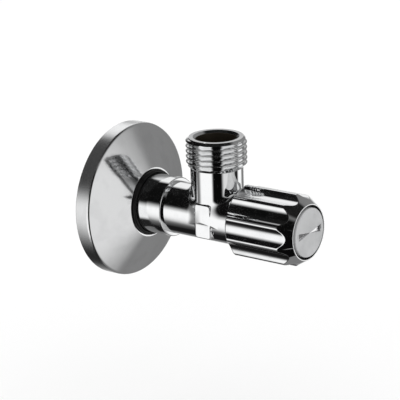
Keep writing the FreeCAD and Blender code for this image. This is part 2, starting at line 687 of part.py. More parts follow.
flat_washer("handle_bush", "hub_back", "(web_back - hub_back)", "bush_bore_radius", "bush_radius")
flat_washer("handle_lock_washer", "web_front", "lock_washer_sheet", "handle_screw_radius + slip_gap",
            "lock_washer_radius")
slotted_screw("handle_screw", "(web_front + lock_washer_sheet)", "+", "handle_screw_radius",
              "handle_screw_length", "handle_screw_head", "handle_screw_head_height")

# ---------------------------------------------------------------- end cap

end_cap = new_body("end_cap")
spin(end_cap, "Revolution", "Turning", [
    ("cap_hollow_radius", "cap_plug_back"),
    ("cap_plug_radius", "cap_plug_back"),
    ("cap_plug_radius", "cap_back"),
    ("cap_radius", "cap_back"),
    ("cap_radius", "cap_front"),
    ("0", "cap_front"),
    ("0", "cap_hollow_front"),
    ("cap_hollow_radius", "cap_hollow_front"),
])
disc = end_cap.Tip
soften(end_cap, "CapEdge", disc, circles_at(disc, "cap_radius", "cap_front"), "cap_edge")


def bow_tie_half(name, quarter_turns):
    """One half of the bow tie: from nothing in the middle it grows wider and deeper towards its end."""
    wedge = end_cap.newObject("PartDesign::SubtractiveWedge", name)
    wedge.AttachmentSupport = (plane(end_cap, "XZ_Plane"), [""])
    wedge.MapMode = "FlatFace"
    turn = FreeCAD.Rotation(FreeCAD.Vector(0, 0, 1), 90 * quarter_turns)
    wedge.AttachmentOffset = FreeCAD.Placement(FreeCAD.Vector(0, 0, 0), turn)
    wedge.setExpression("AttachmentOffset.Base.z", formula("-cap_front"))
    wedge.Ymin = 0
    bind(wedge, Ymax="bow_tie_reach", Xmin="-bow_tie_point", Xmax="bow_tie_point",
         X2min="-bow_tie_half_width", X2max="bow_tie_half_width",
         Zmin="-overshoot", Zmax="bow_tie_point", Z2min="-overshoot", Z2max="bow_tie_depth")
    doc.recompute()
    return wedge


whole = end_cap.Shape.Volume
bow_tie_half("BowTieLeft", 1)
bow_tie_half("BowTieRight", -1)
removed = whole - end_cap.Shape.Volume
two_pyramids = value("4 / 3 * bow_tie_half_width * bow_tie_depth * bow_tie_reach")
if abs(removed / two_pyramids - 1) > 0.1:
    raise RuntimeError(f"the bow tie took {removed:.2f} mm3 out of the cap, not {two_pyramids:.2f}")

# ---------------------------------------------------------------- check and write

doc.recompute()
failed = [item.Name for item in doc.Objects if "Invalid" in item.State or "Error" in item.State]
if failed:
    raise RuntimeError("features failed: " + ", ".join(failed))
os.makedirs("parts", exist_ok=True)
for piece in PIECES:
    shape = piece.Shape
    if shape.isNull() or not shape.isValid() or not shape.Solids:
        raise RuntimeError(piece.Label + " has no valid solid")
    shape.exportStep(f"parts/{piece.Label}.step")
    box = shape.BoundBox
    span = f"y {box.YMin:7.2f} {box.YMax:7.2f}"
    print(f"{piece.Label:24s} {shape.Volume:10.2f} mm3  {span}  solids {len(shape.Solids)}")
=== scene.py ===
import math
from types import SimpleNamespace

import bmesh
import bpy
import numpy as np
from mathutils import Matrix, Vector


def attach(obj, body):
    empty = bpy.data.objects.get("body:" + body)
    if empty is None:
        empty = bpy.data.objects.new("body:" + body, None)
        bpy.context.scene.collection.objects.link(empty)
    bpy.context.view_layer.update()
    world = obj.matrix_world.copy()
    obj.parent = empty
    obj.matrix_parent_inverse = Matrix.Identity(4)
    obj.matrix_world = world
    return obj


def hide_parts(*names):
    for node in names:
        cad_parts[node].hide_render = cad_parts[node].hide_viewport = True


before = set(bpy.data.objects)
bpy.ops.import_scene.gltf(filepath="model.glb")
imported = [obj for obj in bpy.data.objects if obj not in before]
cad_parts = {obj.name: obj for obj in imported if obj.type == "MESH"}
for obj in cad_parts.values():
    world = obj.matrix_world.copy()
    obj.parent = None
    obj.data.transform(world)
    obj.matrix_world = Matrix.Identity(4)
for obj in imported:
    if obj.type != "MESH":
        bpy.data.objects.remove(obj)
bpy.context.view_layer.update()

# ---------------------------------------------------------------------------------------------
# Valve body.  One hot-pressed brass forging: a barrel along the valve's axis with an upright outlet
# branch and two side pads.  Its spigot, threads and waterway are turned, and all of it is polished
# and chrome plated.  Stations are distances from the wall, along -Y.

MM = 0.001
BARREL_RADIUS = 9.1 * MM
BARREL_BACK = 22.9 * MM
BARREL_FRONT = 58.0 * MM
OUTLET_STATION = 40.55 * MM
BRANCH_RADIUS = 9.0 * MM
BRANCH_TOP = 17.6 * MM
PAD_REACH = 9.3 * MM
PAD_HALF_WIDTH = 3.15 * MM
PAD_HALF_HEIGHT = 5.95 * MM
PAD_EDGE = 0.3 * MM
PAD_CORNER = 1.0 * MM
CROTCH_BLEND = 2.0 * MM
PAD_BLEND = 0.3 * MM
SKIN_GRID = 0.24 * MM

CHROME = (0.86, 0.865, 0.87, 1)
WORN_CHROME = (0.81, 0.815, 0.82, 1)
# Brass darkened to stand for the shade deep in the bore: painted shade.
BORE_SHADE_BRASS = (0.12, 0.1, 0.075, 1)


def rounded(corners, steps=6):
    """The points of an outline whose corners are (x, y) or (x, y, radius of the corner's rounding)."""
    points = []
    for number, corner in enumerate(corners):
        here = Vector(corner[:2])
        if len(corner) == 2:
            points.append(here)
            continue
        back = (Vector(corners[number - 1][:2]) - here).normalized()
        on = (Vector(corners[(number + 1) % len(corners)][:2]) - here).normalized()
        half = back.angle(on) / 2
        centre = here + (back + on).normalized() * corner[2] / math.sin(half)
        first = here + back * corner[2] / math.tan(half) - centre
        sweep = first.angle_signed(here + on * corner[2] / math.tan(half) - centre)
        for step in range(steps + 1):
            points.append(centre + Matrix.Rotation(-sweep * step / steps, 2) @ first)
    return points


def along_valve(radius, station):
    """A point of an outline that is turned about the valve's axis."""
    return Vector((radius, -station, 0))


def up_outlet(radius, height):
    """A point of an outline that is turned about the outlet's axis."""
    return Vector((radius, -OUTLET_STATION, height))


def lathe(outline, place=along_valve, steps=160):
    """A bmesh turned from a closed outline, about the valve's axis or the outlet's."""
    bm = bmesh.new()
    verts = [bm.verts.new(place(*point)) for point in outline]
    edges = [bm.edges.new((verts[i - 1], verts[i])) for i in range(len(verts))]
    centre, axis = (Vector(), Vector((0, 1, 0)))
    if place is up_outlet:
        centre, axis = Vector((0, -OUTLET_STATION, 0)), Vector((0, 0, 1))
    bmesh.ops.spin(bm, geom=verts + edges, cent=centre, axis=axis, angle=math.tau, steps=steps,
                   use_merge=True)
    bmesh.ops.remove_doubles(bm, verts=bm.verts, dist=0.002 * MM)
    bmesh.ops.recalc_face_normals(bm, faces=bm.faces)
    return bm


def finish_mesh(bm, name, crease=32):
    """An object from a bmesh, smooth but for edges that turn more sharply than crease degrees."""
    for face in bm.faces:
        face.smooth = True
    for edge in bm.edges:
        edge.smooth = len(edge.link_faces) == 2 and edge.calc_face_angle() < math.radians(crease)
    mesh = bpy.data.meshes.new(name)
    bm.to_mesh(mesh)
    bm.free()
    piece = bpy.data.objects.new(name, mesh)
    bpy.context.scene.collection.objects.link(piece)
    return piece


def fit(piece, body, slot, material, *nodes):
    """Put a piece in place of CAD nodes: what it rides on, its finish and what it stands for."""
    piece.modifiers.new("shading", "WEIGHTED_NORMAL").keep_sharp = True
    piece.data.materials.clear()
    piece.data.materials.append(material)
    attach(piece, body)
    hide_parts(*nodes)


def baked(piece):
    """Apply a piece's modifiers to its mesh."""
    graph = bpy.context.evaluated_depsgraph_get()
    mesh = bpy.data.meshes.new_from_object(piece.evaluated_get(graph))
    piece.modifiers.clear()
    piece.data = mesh


def carve(piece, cutter):
    """Cut one piece with another, and drop the cutter."""
    cut = piece.modifiers.new("carve", "BOOLEAN")
    cut.operation = "DIFFERENCE"
    cut.solver = "EXACT"
    cut.object = cutter
    baked(piece)
    bpy.data.objects.remove(cutter)


def add(tree, kind, inputs=None, **settings):
    """A new node with values, or other nodes' outputs, on its inputs."""
    made = tree.nodes.new(kind)
    for name, setting in settings.items():
        setattr(made, name, setting)
    for name, given in (inputs or {}).items():
        if isinstance(given, bpy.types.NodeSocket):
            tree.links.new(given, made.inputs[name])
        else:
            made.inputs[name].default_value = given
    return made


def maths(tree, operation, a, b=0.0, **settings):
    """One step of arithmetic on a value that changes over a surface."""
    return add(tree, "ShaderNodeMath", {0: a, 1: b}, operation=operation, **settings).outputs[0]


def ramp(tree, at, start, end, low=0.0, high=1.0):
    """low at start and high at end, eased between them and level beyond."""
    spread = {"Value": at, "From Min": start, "From Max": end, "To Min": low, "To Max": high}
    return add(tree, "ShaderNodeMapRange", spread, interpolation_type="SMOOTHSTEP").outputs["Result"]


def blend_colours(tree, share, a, b):
    """Colour a with a share of colour b in it."""
    made = add(tree, "ShaderNodeMix", data_type="RGBA")
    colours = [socket for socket in made.inputs if socket.type == "RGBA"]
    for socket, given in ((made.inputs[0], share), (colours[0], a), (colours[1], b)):
        if isinstance(given, bpy.types.NodeSocket):
            tree.links.new(given, socket)
        else:
            socket.default_value = given
    return next(socket for socket in made.outputs if socket.type == "RGBA")


def new_group(name, inputs, outputs):
    """An empty node group with named sockets: (group, its inputs inside, its output node)."""
    group = bpy.data.node_groups.new(name, "ShaderNodeTree")
    for way, sockets in (("INPUT", inputs), ("OUTPUT", outputs)):
        for label, kind in sockets.items():
            group.interface.new_socket(label, in_out=way, socket_type="NodeSocket" + kind)
    return group, group.nodes.new("NodeGroupInput").outputs, group.nodes.new("NodeGroupOutput")


def wear_group():
    """What handling leaves on a hard surface: cloudy haze, fine scratches and a slight waviness."""
    cloud_scale, wave_scale, grain_scale = 160.0, 330.0, 5200.0
    sockets = {"Position": "Vector", "Waviness": "Float", "Grain": "Float"}
    tree, given, out = new_group("wear", sockets, {"Haze": "Float", "Scratches": "Float", "Normal": "Vector"})
    place = given["Position"]
    cloud = add(tree, "ShaderNodeTexNoise", {"Vector": place, "Scale": cloud_scale, "Detail": 4.0})
    tree.links.new(ramp(tree, cloud.outputs["Fac"], 0.42, 0.68), out.inputs["Haze"])
    scratches = None
    for angle, axis in ((0.5, (0, 0, 1)), (1.9, (1, 0, 0)), (2.6, (0.3, 1, 0.2))):
        turned = add(tree, "ShaderNodeVectorRotate", {"Vector": place, "Axis": axis, "Angle": angle})
        stretch = {0: turned.outputs[0], 1: (9000, 180, 420)}
        drawn = add(tree, "ShaderNodeVectorMath", stretch, operation="MULTIPLY")
        lines = add(tree, "ShaderNodeTexNoise", {"Vector": drawn.outputs[0], "Scale": 1.0, "Detail": 1.0})
        lines = ramp(tree, lines.outputs["Fac"], 0.69, 0.76)
        scratches = maths(tree, "MAXIMUM", scratches, lines) if scratches else lines
    tree.links.new(scratches, out.inputs["Scratches"])
    waves = add(tree, "ShaderNodeTexNoise", {"Vector": place, "Scale": wave_scale, "Detail": 1.5})
    grain = add(tree, "ShaderNodeTexNoise", {"Vector": place, "Scale": grain_scale, "Detail": 2.0})
    relief = maths(tree, "MULTIPLY", waves.outputs["Fac"], given["Waviness"])
    relief = maths(tree, "ADD", relief, maths(tree, "MULTIPLY", grain.outputs["Fac"], given["Grain"]))
    bump = add(tree, "ShaderNodeBump", {"Height": relief, "Distance": 1.0 * MM, "Strength": 1.0})
    tree.links.new(bump.outputs["Normal"], out.inputs["Normal"])
    return tree


WEAR = wear_group()


def finish_of(name, fresh, worn, roughness, metallic=0.0, waviness=0.0, grain=0.0, scratch=0.12):
    """A finish whose colour and roughness go from fresh to worn with the haze and scratches on it.

    roughness is (fresh, worn).  Besides the material it holds the tree and shader, the position and
    the sockets that colour and roughness come from."""
    material = bpy.data.materials.new(name)
    material.use_nodes = True
    tree = material.node_tree
    tree.nodes.clear()
    place = add(tree, "ShaderNodeTexCoord").outputs["Object"]
    wear = add(tree, "ShaderNodeGroup", node_tree=WEAR)
    tree.links.new(place, wear.inputs["Position"])
    wear.inputs["Waviness"].default_value = waviness
    wear.inputs["Grain"].default_value = grain
    shader = add(tree, "ShaderNodeBsdfPrincipled", {"Metallic": metallic})
    tone = blend_colours(tree, wear.outputs["Haze"], fresh, worn)
    gloss = ramp(tree, wear.outputs["Haze"], 0.0, 1.0, *roughness)
    gloss = maths(tree, "ADD", gloss, maths(tree, "MULTIPLY", wear.outputs["Scratches"], scratch))
    tree.links.new(tone, shader.inputs["Base Color"])
    tree.links.new(gloss, shader.inputs["Roughness"])
    tree.links.new(wear.outputs["Normal"], shader.inputs["Normal"])
    tree.links.new(shader.outputs["BSDF"], add(tree, "ShaderNodeOutputMaterial").inputs["Surface"])
    return SimpleNamespace(material=material, tree=tree, shader=shader, place=place, tone=tone, gloss=gloss)


def along(finish, axis):
    """Where a point lies along an axis."""
    return add(finish.tree, "ShaderNodeSeparateXYZ", {0: finish.place}).outputs[axis]


def reach_from_axis(finish, across, centre=0.0):
    """Distance from an axis along Y (across X and Z), or along Z (across X and Y) at y = -centre."""
    first = maths(finish.tree, "POWER", along(finish, "X"), 2.0)
    second = maths(finish.tree, "ADD", along(finish, across), centre)
    second = maths(finish.tree, "POWER", second, 2.0)
    return maths(finish.tree, "SQRT", maths(finish.tree, "ADD", first, second))


def recolour(finish, share, colour):
    """Give part of a finish another colour."""
    changed = blend_colours(finish.tree, share, finish.tone, colour)
    finish.tree.links.new(changed, finish.shader.inputs["Base Color"])


def roughen(finish, share, roughness):
    """Make part of a finish at least this rough."""
    least = maths(finish.tree, "MULTIPLY", share, roughness)
    rougher = maths(finish.tree, "MAXIMUM", finish.gloss, least)
    finish.tree.links.new(rougher, finish.shader.inputs["Roughness"])


def plate(name, roughness, waviness):
    """Chrome plate."""
    return finish_of(name, CHROME, WORN_CHROME, roughness, metallic=1.0, waviness=waviness)


def smooth_join(a, b, blend):
    """The lower of two distances, blended where they are nearly equal."""
    near = np.clip(0.5 + 0.5 * (b - a) / blend, 0, 1)
    return b * (1 - near) + a * near - blend * near * (1 - near)


def box_distance(beyond):
    """Distance from a box, given how far each point is beyond its sides."""
    return np.linalg.norm(np.maximum(beyond, 0), axis=1) + np.minimum(beyond.max(axis=1), 0)


def skin_distance(points):
    """How far points stand off the forging's skin: barrel, branch and pads, filleted together."""
    x, station, z = points[:, 0], -points[:, 1], points[:, 2]
    barrel = np.hypot(x, z) - BARREL_RADIUS
    branch = np.hypot(x, station - OUTLET_STATION) - BRANCH_RADIUS
    branch = np.maximum(branch, -z)
    inset = np.stack([np.abs(station - OUTLET_STATION) - PAD_HALF_WIDTH, np.abs(z) - PAD_HALF_HEIGHT], axis=1)
    face = box_distance(inset + PAD_CORNER) - PAD_CORNER
    pads = box_distance(np.stack([face, np.abs(x) - PAD_REACH], axis=1) + PAD_EDGE) - PAD_EDGE
    return smooth_join(smooth_join(barrel, branch, CROTCH_BLEND), pads, PAD_BLEND)


def settle_on_skin(points, rounds=4, probe=0.002 * MM):
    """Move points along the skin's slope until they lie on it."""
    points = points.copy()
    for _ in range(rounds):
        distance = skin_distance(points)
        steps = np.eye(3) * probe
        slope = np.stack([(skin_distance(points + step) - distance) / probe for step in steps], axis=1)
        points -= slope * (distance / np.maximum((slope ** 2).sum(axis=1), 1e-9))[:, None]
    return points


def forged_skin():
    """A closed, even mesh of the forging, without its waterway."""
    bm = bmesh.new()
    length = BARREL_FRONT - BARREL_BACK
    upright = Matrix.Rotation(math.pi / 2, 4, "X")
    middle = Matrix.Translation((0, -(BARREL_FRONT + BARREL_BACK) / 2, 0))
    bmesh.ops.create_cone(bm, cap_ends=True, segments=96, radius1=BARREL_RADIUS, radius2=BARREL_RADIUS,
                          depth=length, matrix=middle @ upright)
    branch = Matrix.Translation((0, -OUTLET_STATION, BRANCH_TOP / 2))
    bmesh.ops.create_cone(bm, cap_ends=True, segments=96, radius1=BRANCH_RADIUS, radius2=BRANCH_RADIUS,
                          depth=BRANCH_TOP, matrix=branch)
    pads = Matrix.Translation((0, -OUTLET_STATION, 0))
    pads = pads @ Matrix.Diagonal((2 * PAD_REACH, 2 * PAD_HALF_WIDTH, 2 * PAD_HALF_HEIGHT, 1))
    bmesh.ops.create_cube(bm, size=1, matrix=pads)
    piece = finish_mesh(bm, "forged_body")
    remesh = piece.modifiers.new("even", "REMESH")
    remesh.mode = "VOXEL"
    remesh.voxel_size = SKIN_GRID
    baked(piece)
    points = np.zeros(len(piece.data.vertices) * 3)
    piece.data.vertices.foreach_get("co", points)
    points = points.reshape(-1, 3)
    station, height = -points[:, 1], points[:, 2]
    margin = 2 * SKIN_GRID
    free = (station > BARREL_BACK + margin) & (station < BARREL_FRONT - margin)
    free &= height < BRANCH_TOP - margin
    points[free] = settle_on_skin(points[free])
    piece.data.vertices.foreach_set("co", points.ravel())
    piece.data.shade_smooth()
    return piece


INLET_BORE = 6.5 * MM
SEAT_HOLE = 4.4 * MM
SEAT_STATION = 34.6 * MM
CHAMBER_RADIUS = 7.2 * MM
SOCKET_RADIUS = 7.0 * MM
SOCKET_FLOOR = 15.0 * MM
PORT_RADIUS = 5.0 * MM

forged_body = forged_skin()
waterway = lathe(rounded([
    (0, 20 * MM), (INLET_BORE, 20 * MM), (INLET_BORE, 29.5 * MM), (SEAT_HOLE, 31.6 * MM),
    (SEAT_HOLE, SEAT_STATION), (5.2 * MM, SEAT_STATION), (5.2 * MM, 33.4 * MM), (CHAMBER_RADIUS, 33.4 * MM),
    (CHAMBER_RADIUS, 47 * MM), (7.5 * MM, 47.3 * MM), (7.5 * MM, 60 * MM), (0, 60 * MM)]), steps=72)
carve(forged_body, finish_mesh(waterway, "waterway"))
port = lathe([(0, 0), (PORT_RADIUS, 0), (PORT_RADIUS, 13 * MM), (SOCKET_RADIUS, SOCKET_FLOOR),
              (SOCKET_RADIUS, 20 * MM), (0, 20 * MM)], up_outlet, steps=72)
carve(forged_body, finish_mesh(port, "port"))
body_chrome = plate("body_chrome", (0.035, 0.085), 0.0012)
# The bore and the waterway are left unplated and rougher, and their colour is darkened as painted shade for
# the deep hollow.
inside_barrel = ramp(body_chrome.tree, reach_from_axis(body_chrome, "Z"), 7.75 * MM, 7.6 * MM)
inside_outlet = reach_from_axis(body_chrome, "Y", OUTLET_STATION)
inside_outlet = ramp(body_chrome.tree, inside_outlet, 7.15 * MM, 7.05 * MM)
above = ramp(body_chrome.tree, along(body_chrome, "Z"), 2 * MM, 4 * MM)
inside_outlet = maths(body_chrome.tree, "MULTIPLY", inside_outlet, above)
unplated_and_shaded = maths(body_chrome.tree, "MAXIMUM", inside_barrel, inside_outlet)
recolour(body_chrome, unplated_and_shaded, BORE_SHADE_BRASS)
roughen(body_chrome, unplated_and_shaded, 0.42)
fit(forged_body, "valve_body", "chrome_brass", body_chrome.material, "valve_body")

# Pipe thread, cut by a chaser, with rounded crests and roots: one pitch of its outline goes up a helix.
THREAD_PITCH = 1.814 * MM
THREAD_CREST = 10.4 * MM
THREAD_DEPTH = 1.162 * MM
THREAD_TURN_STEPS = 128


def thread_wave(share):
    """Depth below the crest at a share of the pitch, for 55 degree flanks and rounded crest and root."""
    wave = 0.5 - 0.5 * math.cos(math.tau * share)
    return THREAD_DEPTH * (wave + 0.12 * math.sin(math.tau * share) ** 2 * (wave - 0.5))


def ring_edges(verts):
    """The edges that run round a ring of vertices."""
    ring = set(verts)
    return list({edge for vert in verts for edge in vert.link_edges if edge.other_vert(vert) in ring})


def pipe_thread(bottom, top, envelope, inner, rows=14):
    """A tube with a helical thread outside, upright on the origin, clipped flat at bottom and top.

    envelope(height) is the blank's radius there, and inner lists the (radius, height) corners of the
    bore from the top rim down to the bottom rim."""
    bm = bmesh.new()
    start = bottom - 2 * THREAD_PITCH
    turns = math.ceil((top - start) / THREAD_PITCH) + 1
    verts = []
    for row in range(rows + 1):
        share = row / rows
        verts.append(bm.verts.new((THREAD_CREST - thread_wave(share), 0, start + share * THREAD_PITCH)))
    edges = [bm.edges.new((verts[row], verts[row + 1])) for row in range(rows)]
    bmesh.ops.spin(bm, geom=verts + edges, cent=(0, 0, 0), axis=(0, 0, 1), angle=math.tau * turns,
                   dvec=(0, 0, THREAD_PITCH / THREAD_TURN_STEPS), steps=turns * THREAD_TURN_STEPS)
    bmesh.ops.remove_doubles(bm, verts=bm.verts, dist=0.004 * MM)
    for vert in bm.verts:
        radius = math.hypot(vert.co.x, vert.co.y)
        limit = envelope(vert.co.z)
        if radius > limit:
            vert.co.x *= limit / radius
            vert.co.y *= limit / radius
    for height, side in ((top, 1), (bottom, -1)):
        geometry = bm.verts[:] + bm.edges[:] + bm.faces[:]
        bmesh.ops.bisect_plane(bm, geom=geometry, dist=0.0005 * MM, plane_co=(0, 0, height),
                               plane_no=(0, 0, side), clear_outer=True)
    rim_low = [edge for edge in bm.edges if edge.is_boundary and edge.verts[0].co.z < (top + bottom) / 2]
    rim = [edge for edge in bm.edges if edge.is_boundary and edge.verts[0].co.z > (top + bottom) / 2]
    for radius, height in inner:
        made = bmesh.ops.extrude_edge_only(bm, edges=rim)["geom"]
        ring = [item for item in made if isinstance(item, bmesh.types.BMVert)]
        for vert in ring:
            out = Vector((vert.co.x, vert.co.y)).normalized() * radius
            vert.co = (out.x, out.y, height)
        rim = ring_edges(ring)
    bmesh.ops.triangle_fill(bm, edges=rim + rim_low, use_beauty=True)
    bmesh.ops.recalc_face_normals(bm, faces=bm.faces)
    return bm


OUTLET_TOP = 27.8 * MM
OUTLET_CREST_TOP = 26.7 * MM
RUN_OUT_FOOT = 17.3 * MM
MOUTH_RADIUS = 7.9 * MM
THREAD_SHADE = 44


def outlet_blank(height):
    """The outlet's radius before its thread is cut: 45 degree run-out below, chamfer above."""
    return min(THREAD_CREST, BRANCH_RADIUS + max(0, height - RUN_OUT_FOOT),
               THREAD_CREST - (height - OUTLET_CREST_TOP))


outlet = pipe_thread(RUN_OUT_FOOT - 0.3 * MM, OUTLET_TOP, outlet_blank,
                     [(MOUTH_RADIUS, OUTLET_TOP), (SOCKET_RADIUS, OUTLET_TOP - MOUTH_RADIUS + SOCKET_RADIUS),
                      (SOCKET_RADIUS, RUN_OUT_FOOT - 0.3 * MM)])
bmesh.ops.translate(outlet, verts=outlet.verts, vec=(0, -OUTLET_STATION, 0))
outlet_thread = finish_mesh(outlet, "outlet_thread", THREAD_SHADE)
fit(outlet_thread, "valve_body", "chrome_brass", body_chrome.material, "valve_body")

INLET_END = -14.0 * MM
INLET_THREAD_FRONT = 4.0 * MM
SPIGOT_RADIUS = 10.35 * MM
SPIGOT_FRONT = 23.3 * MM


def inlet_blank(height):
    """The inlet's radius before its thread is cut: run-out below, and a bevelled end above."""
    return min(THREAD_CREST, SPIGOT_RADIUS + max(0, height + INLET_THREAD_FRONT),
               THREAD_CREST - max(0, height + INLET_END + THREAD_DEPTH))


inlet = pipe_thread(-INLET_THREAD_FRONT, -INLET_END, inlet_blank,
                    [(INLET_BORE + 0.5 * MM, -INLET_END), (INLET_BORE, -INLET_END - 0.5 * MM),
                     (INLET_BORE, -INLET_THREAD_FRONT)])
bmesh.ops.rotate(inlet, verts=inlet.verts, cent=(0, 0, 0), matrix=Matrix.Rotation(-math.pi / 2, 3, "X"))
inlet_thread = finish_mesh(inlet, "inlet_thread", THREAD_SHADE)
fit(inlet_thread, "valve_body", "chrome_brass", body_chrome.material, "valve_body")

spigot = finish_mesh(lathe(rounded([
    (INLET_BORE, INLET_THREAD_FRONT), (SPIGOT_RADIUS, INLET_THREAD_FRONT),
    (SPIGOT_RADIUS, SPIGOT_FRONT, 0.35 * MM), (BARREL_RADIUS - 0.3 * MM, SPIGOT_FRONT),
    (INLET_BORE, SPIGOT_FRONT)])), "inlet_spigot")
fit(spigot, "valve_body", "chrome_brass", body_chrome.material, "valve_body")

# ---------------------------------------------------------------------------------------------
# Rosette.  Pressed brass sheet, chrome plated: a rim that meets the tiles, a flat cone and a narrow
# lip round its rubber ring.

ROSETTE_RADIUS = 27.0 * MM
LIP_FRONT = 12.42 * MM
rosette_outline = rounded([
    (26.1 * MM, 0), (ROSETTE_RADIUS, 0, 0.2 * MM), (ROSETTE_RADIUS, 5.55 * MM, 1.3 * MM),
    (12.22 * MM, LIP_FRONT, 0.3 * MM), (11.57 * MM, LIP_FRONT, 0.15 * MM), (11.57 * MM, 11.3 * MM),
    (26.1 * MM, 4.65 * MM, 0.4 * MM)], steps=8)
rosette = finish_mesh(lathe(rosette_outline, steps=256), "rosette_shell")
rosette_chrome = plate("rosette_chrome", (0.085, 0.105), 0.0002)
rim = ramp(rosette_chrome.tree, reach_from_axis(rosette_chrome, "Z"), 26.8 * MM, 26.95 * MM)
roughen(rosette_chrome, rim, 0.27)
fit(rosette, "rosette", "rosette_chrome", rosette_chrome.material, "rosette")

# ---------------------------------------------------------------------------------------------
# Friction ring.  Black moulded rubber that grips the spigot and fills the rosette's throat, with a
# flange behind the sheet.

RING_BORE = 10.42 * MM
RING_CROWN = 11.52 * MM
ring = finish_mesh(lathe(rounded([
    (RING_BORE, 8.4 * MM), (12.7 * MM, 8.4 * MM), (12.7 * MM, 9.2 * MM), (RING_CROWN, 9.2 * MM),
    (RING_CROWN, 13.6 * MM, 0.5 * MM), (RING_BORE, 13.6 * MM, 0.3 * MM)])), "friction_ring")
ring_rubber = finish_of("ring_rubber", (0.003, 0.003, 0.003, 1), (0.008, 0.008, 0.008, 1), (0.3, 0.45),
                        waviness=0.0006, grain=0.00001, scratch=0.2)
ring_rubber.shader.inputs["Specular IOR Level"].default_value = 0.2
fit(ring, "rosette", "black_rubber", ring_rubber.material, "rosette_ring")

# ---------------------------------------------------------------------------------------------
# Headwork.  The bonnet screws into the neck over a fibre gasket and holds the spindle, which turns on
# a slip washer behind two rubber seals and is kept in by a spring clip.  All of it is turned brass.


def keep(node, finish):
    """Show a CAD node as it is, with smooth faces between its sharp edges."""
    sharpest_smooth_bend = math.radians(30)
    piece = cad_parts[node]
    for face in piece.data.polygons:
        face.use_smooth = True
    piece.modifiers.new("weld", "WELD").merge_threshold = 0.001 * MM
    piece.modifiers.new("creases", "EDGE_SPLIT").split_angle = sharpest_smooth_bend
    piece.data.materials.clear()
    piece.data.materials.append(finish.material)


turned_brass = finish_of("turned_brass", (0.78, 0.6, 0.3, 1), (0.55, 0.4, 0.18, 1), (0.2, 0.38), metallic=1.0,
                         waviness=0.0006, grain=0.00002)
tool_marks = add(turned_brass.tree, "ShaderNodeTexWave",
                 {"Vector": turned_brass.place, "Scale": 1400.0, "Distortion": 0.4}, bands_direction="Y")
tool_marks = ramp(turned_brass.tree, tool_marks.outputs["Fac"], 0.2, 0.9, 0.0, 0.1)
marked = maths(turned_brass.tree, "ADD", turned_brass.gloss, tool_marks)
turned_brass.tree.links.new(marked, turned_brass.shader.inputs["Roughness"])
seal_rubber = finish_of("seal_rubber", (0.012, 0.012, 0.012, 1), (0.03, 0.03, 0.03, 1), (0.3, 0.5),
                        waviness=0.0004, grain=0.00002, scratch=0.1)
fibre = finish_of("fibre", (0.36, 0.09, 0.05, 1), (0.2, 0.05, 0.03, 1), (0.6, 0.8), waviness=0.0008,
                  grain=0.00004)
acetal = finish_of("acetal", (0.82, 0.82, 0.78, 1), (0.7, 0.7, 0.64, 1), (0.32, 0.45), waviness=0.0003,
                   grain=0.00001)
steel = finish_of("spring_steel", (0.56, 0.56, 0.57, 1), (0.4, 0.4, 0.41, 1), (0.18, 0.34), metallic=1.0,
                  waviness=0.0004, grain=0.00001)
keep("bonnet", turned_brass)
keep("bonnet_gasket", fibre)
keep("spindle", turned_brass)
keep("spindle_o_ring_inner", seal_rubber)
keep("spindle_o_ring_outer", seal_rubber)
keep("slip_washer", acetal)
keep("spindle_clip", steel)

# ---------------------------------------------------------------------------------------------
# Plunger.  A brass nut that the spindle's screw draws up and down, with a rubber washer held in its
# head by a cup and a screw, and a rubber ring round its stem.

keep("plunger", turned_brass)
keep("plunger_o_ring", seal_rubber)
keep("seat_washer", seal_rubber)
keep("washer_cup", turned_brass)
keep("washer_screw", turned_brass)

# ---------------------------------------------------------------------------------------------
# Handle.  Moulded plastic, chrome plated, with ten hollow flutes between narrow ridges, a coned front
# and a ring around the end cap.  It is a closed shell with a hub for the spindle.

FLUTES = 10
FLUTE_PHASE = math.radians(1.0)
FLUTE_CUTTER = 5.0 * MM
FLUTE_FLOOR = 10.95 * MM
RIDGE_RADIUS = 12.5 * MM
RIDGE_BLEND = 0.55 * MM
HANDLE_BACK = 50.3 * MM
HANDLE_BACK_RADIUS = 9.8 * MM
HANDLE_SHOULDER = 52.3 * MM
CONE_BACK = 72.5 * MM
HANDLE_FRONT = 77.3 * MM
FRONT_RADIUS = 9.63 * MM
CAP_RECESS = 9.2 * MM
WEB_FRONT = 74.4 * MM
WEB_BACK = 73.6 * MM
BUSH_RADIUS = 4.3 * MM
HUB_RADIUS = 5.4 * MM
HUB_BACK = 68.2 * MM
HANDLE_BORE = 9.45 * MM
POINTS_PER_FLUTE = 28


def flute_angles():
    """Angles round the handle, closer together on the ridges than in the flutes."""
    half = math.pi / FLUTES
    angles = []
    for flute in range(FLUTES):
        for point in range(POINTS_PER_FLUTE):
            share = -1 + 2 * point / POINTS_PER_FLUTE
            angles.append(FLUTE_PHASE + 2 * half * flute + half * math.sin(share * math.pi / 2))
    return angles


def flute_radius(angle):
    """The straight part's radius at an angle: a round hollow, blended into the ridge."""
    half = math.pi / FLUTES
    off = (angle - FLUTE_PHASE + half) % (2 * half) - half
    centre = FLUTE_FLOOR + FLUTE_CUTTER
    hollow = centre * math.cos(off) - math.sqrt(FLUTE_CUTTER ** 2 - (centre * math.sin(off)) ** 2)
    return float(smooth_join(np.array(hollow), np.array(RIDGE_RADIUS), RIDGE_BLEND))


def bend(corner, before, after, size, share):
    """A point on the soft bend round a corner between two directions."""
    start, end = corner + before * size, corner + after * size
    return start.lerp(corner, share).lerp(corner.lerp(end, share), share)


